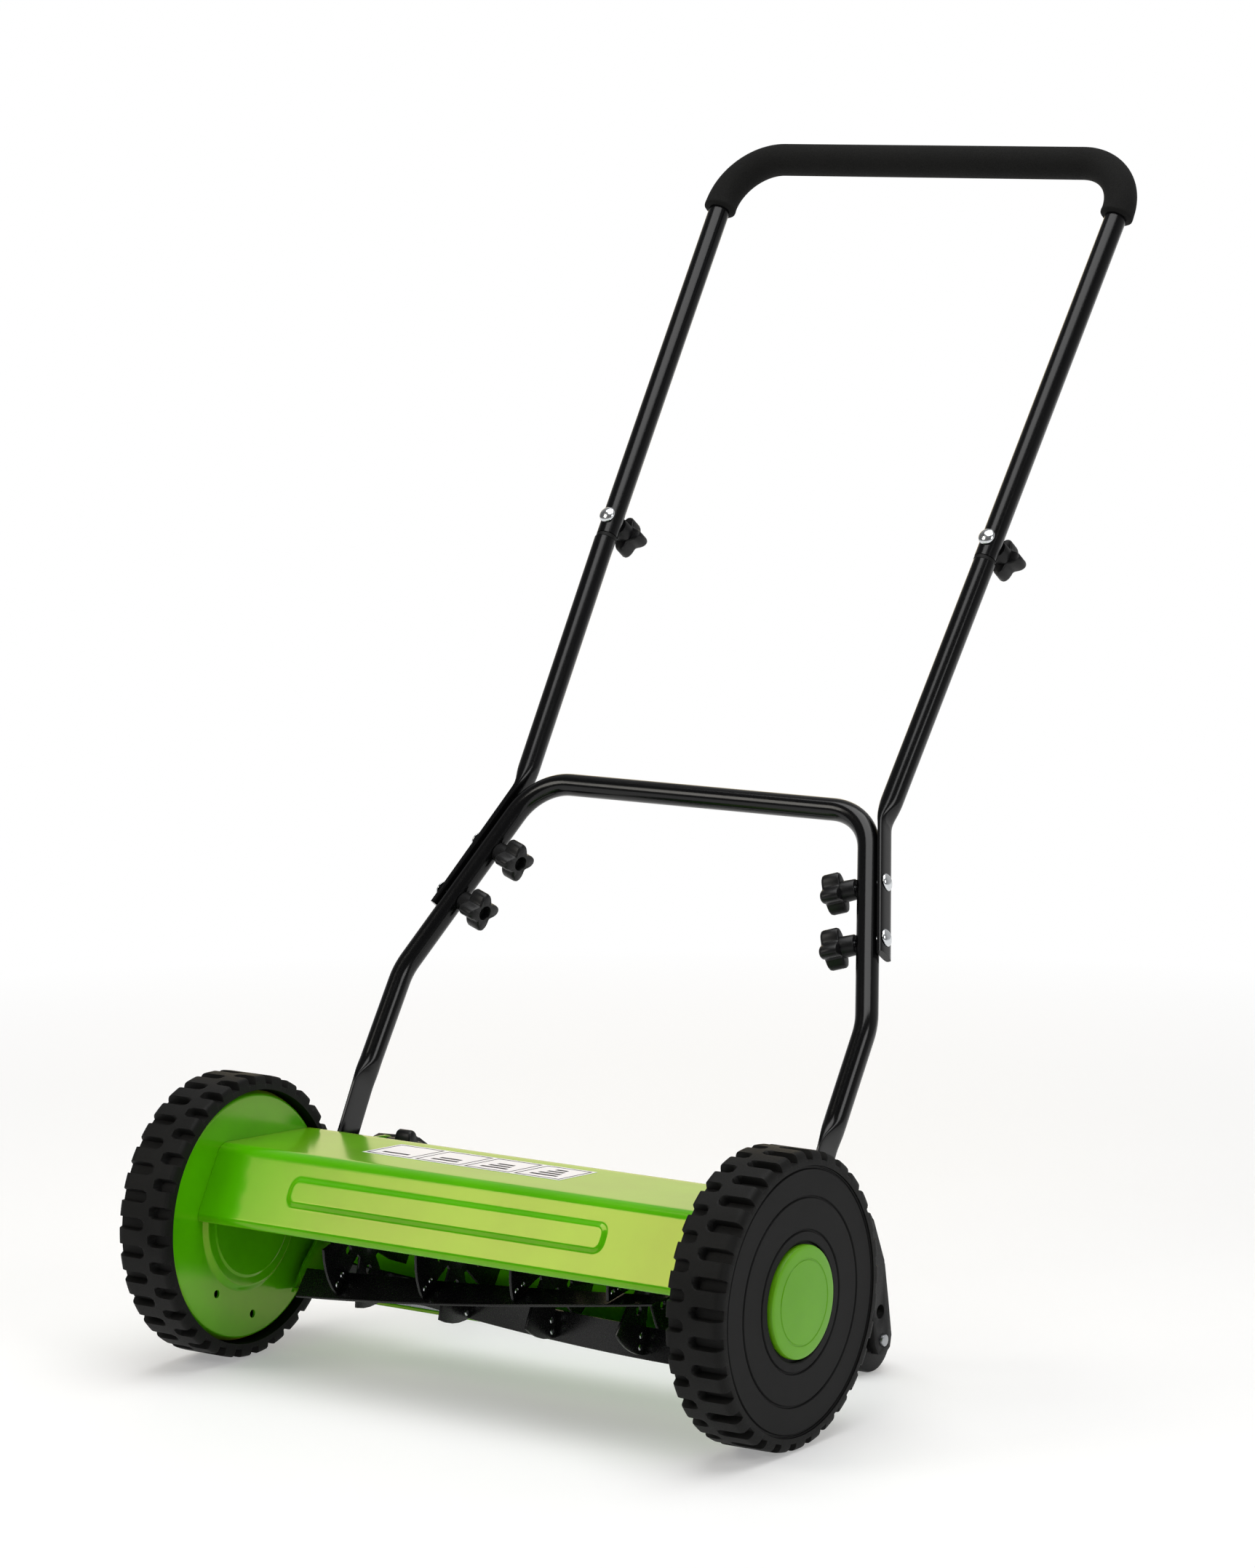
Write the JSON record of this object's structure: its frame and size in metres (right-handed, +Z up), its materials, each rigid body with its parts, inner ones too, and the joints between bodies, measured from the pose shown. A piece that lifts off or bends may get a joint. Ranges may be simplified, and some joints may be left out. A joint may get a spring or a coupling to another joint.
{
  "type": "reel lawn mower",
  "caption": "Push reel mower: helical blade reel geared to two treaded wheels, curved deck, rear roller and a sectional tube handle with foam grip.",
  "frame": {"origin": "on the ground, under the middle of the whole mower's box", "axes": "+X towards the right-hand wheel as drawn, -Y towards the front (the way the mower is pushed), +Z up"},
  "size_m": [0.592, 0.8048, 0.9928],
  "materials": {
    "green_paint": "gloss powder coat over pressed sheet steel",
    "reel_paint": "satin black paint over steel",
    "tube_paint": "gloss black powder coat over steel tube",
    "machined_steel": "turned, lightly oiled",
    "knife_steel": "ground edge",
    "zinc": "bright zinc plate",
    "tyre": "moulded, matte",
    "wheel_plastic": "satin moulded",
    "green_plastic": "smooth moulded",
    "black_plastic": "fine moulded grain",
    "knob_plastic": "satin moulded",
    "nylon": "plain nylon",
    "foam": "closed-cell foam, matte"
  },
  "bodies": {
    "chassis": {"side_plate_left": "green_paint", "side_plate_right": "green_paint", "reel_bearing_left": "nylon", "reel_bearing_right": "nylon", "deck_cover": "green_paint", "cutter_bar": "green_paint", "bed_knife": "knife_steel", "front_tie_rod": "machined_steel", "rear_tie_rod": "reel_paint", "wheel_axle_left": "machined_steel", "wheel_axle_right": "machined_steel", "handle_pivot_bolt_left": "zinc", "handle_pivot_bolt_right": "zinc", "roller_clamp_bolt_left": "zinc", "roller_clamp_bolt_right": "zinc"},
    "wheel_left": {"tyre_left": "tyre", "rim_left": "wheel_plastic", "hub_cap_left": "green_plastic"},
    "wheel_right": {"tyre_right": "tyre", "rim_right": "wheel_plastic", "hub_cap_right": "green_plastic"},
    "reel": {"reel_shaft": "reel_paint", "pinion_left": "machined_steel", "pinion_right": "machined_steel", "reel_spider_1": "reel_paint", "reel_spider_2": "reel_paint", "reel_spider_3": "reel_paint", "reel_spider_4": "reel_paint", "reel_blade_1": "reel_paint", "reel_blade_2": "reel_paint", "reel_blade_3": "reel_paint", "reel_blade_4": "reel_paint", "reel_blade_5": "reel_paint"},
    "roller_arms": {"roller_arm_left": "black_plastic", "roller_arm_right": "black_plastic", "roller_axle": "machined_steel"},
    "roller": {"roller": "black_plastic"},
    "handle": {"lower_handle": "tube_paint", "middle_tube_left": "tube_paint", "middle_tube_right": "tube_paint", "tube_joiner_left": "black_plastic", "tube_joiner_right": "black_plastic", "upper_handle": "tube_paint", "foam_grip": "foam", "lower_clamp_bolt_left": "zinc", "lower_clamp_bolt_right": "zinc", "upper_clamp_bolt_left": "zinc", "upper_clamp_bolt_right": "zinc", "joint_bolt_left": "zinc", "joint_bolt_right": "zinc"},
    "lower_clamp_knob_left": {"lower_clamp_knob_left": "knob_plastic"},
    "lower_clamp_knob_right": {"lower_clamp_knob_right": "knob_plastic"},
    "upper_clamp_knob_left": {"upper_clamp_knob_left": "knob_plastic"},
    "upper_clamp_knob_right": {"upper_clamp_knob_right": "knob_plastic"},
    "joint_knob_left": {"joint_knob_left": "knob_plastic"},
    "joint_knob_right": {"joint_knob_right": "knob_plastic"},
    "handle_pivot_knob_left": {"handle_pivot_knob_left": "knob_plastic"},
    "handle_pivot_knob_right": {"handle_pivot_knob_right": "knob_plastic"},
    "roller_clamp_knob_left": {"roller_clamp_knob_left": "knob_plastic"},
    "roller_clamp_knob_right": {"roller_clamp_knob_right": "knob_plastic"}
  },
  "joints": [
    {"name": "wheel_left_spin", "type": "hinge", "parent": "chassis", "child": "wheel_left", "pos_m": [-0.268, -0.28493, 0.1175], "axis": [1, 0, 0], "continuous": true},
    {"name": "wheel_right_spin", "type": "hinge", "parent": "chassis", "child": "wheel_right", "pos_m": [0.268, -0.28493, 0.1175], "axis": [1, 0, 0], "continuous": true},
    {"name": "reel_spin", "type": "hinge", "parent": "chassis", "child": "reel", "pos_m": [0, -0.26537, 0.11226], "axis": [1, 0, 0], "continuous": true},
    {"name": "roller_height", "type": "hinge", "parent": "chassis", "child": "roller_arms", "pos_m": [0, -0.14393, 0.156], "axis": [1, 0, 0], "range_deg": [-7, 10]},
    {"name": "roller_spin", "type": "hinge", "parent": "roller_arms", "child": "roller", "pos_m": [0, -0.04493, 0.028], "axis": [1, 0, 0], "continuous": true},
    {"name": "handle_tilt", "type": "hinge", "parent": "chassis", "child": "handle", "pos_m": [0, -0.18893, 0.135], "axis": [1, 0, 0], "range_deg": [-45, 15]},
    {"name": "lower_clamp_knob_left_turn", "type": "hinge", "parent": "handle", "child": "lower_clamp_knob_left", "pos_m": [-0.20628, -0.04929, 0.35783], "axis": [-0.9453, 0.188, 0.2665], "continuous": true},
    {"name": "lower_clamp_knob_right_turn", "type": "hinge", "parent": "handle", "child": "lower_clamp_knob_right", "pos_m": [0.20628, -0.04929, 0.35783], "axis": [0.9453, 0.188, 0.2665], "continuous": true},
    {"name": "upper_clamp_knob_left_turn", "type": "hinge", "parent": "handle", "child": "upper_clamp_knob_left", "pos_m": [-0.18924, -0.02081, 0.3982], "axis": [-0.9453, 0.188, 0.2665], "continuous": true},
    {"name": "upper_clamp_knob_right_turn", "type": "hinge", "parent": "handle", "child": "upper_clamp_knob_right", "pos_m": [0.18924, -0.02081, 0.3982], "axis": [0.9453, 0.188, 0.2665], "continuous": true},
    {"name": "joint_knob_left_turn", "type": "hinge", "parent": "handle", "child": "joint_knob_left", "pos_m": [-0.1923, 0.16791, 0.66573], "axis": [0, -0.8171, 0.5764], "continuous": true},
    {"name": "joint_knob_right_turn", "type": "hinge", "parent": "handle", "child": "joint_knob_right", "pos_m": [0.1923, 0.16791, 0.66573], "axis": [0, -0.8171, 0.5764], "continuous": true},
    {"name": "handle_pivot_knob_left_turn", "type": "hinge", "parent": "chassis", "child": "handle_pivot_knob_left", "pos_m": [-0.2315, -0.18893, 0.135], "axis": [1, 0, 0], "continuous": true},
    {"name": "handle_pivot_knob_right_turn", "type": "hinge", "parent": "chassis", "child": "handle_pivot_knob_right", "pos_m": [0.2315, -0.18893, 0.135], "axis": [1, 0, 0], "continuous": true},
    {"name": "roller_clamp_knob_left_turn", "type": "hinge", "parent": "chassis", "child": "roller_clamp_knob_left", "pos_m": [-0.2175, -0.14393, 0.156], "axis": [1, 0, 0], "continuous": true},
    {"name": "roller_clamp_knob_right_turn", "type": "hinge", "parent": "chassis", "child": "roller_clamp_knob_right", "pos_m": [0.2175, -0.14393, 0.156], "axis": [1, 0, 0], "continuous": true}
  ],
  "couplings": [
    {"joint": "wheel_right_spin", "follows": "wheel_left_spin", "ratio": 1},
    {"joint": "reel_spin", "follows": "wheel_left_spin", "ratio": 3.0769}
  ]
}
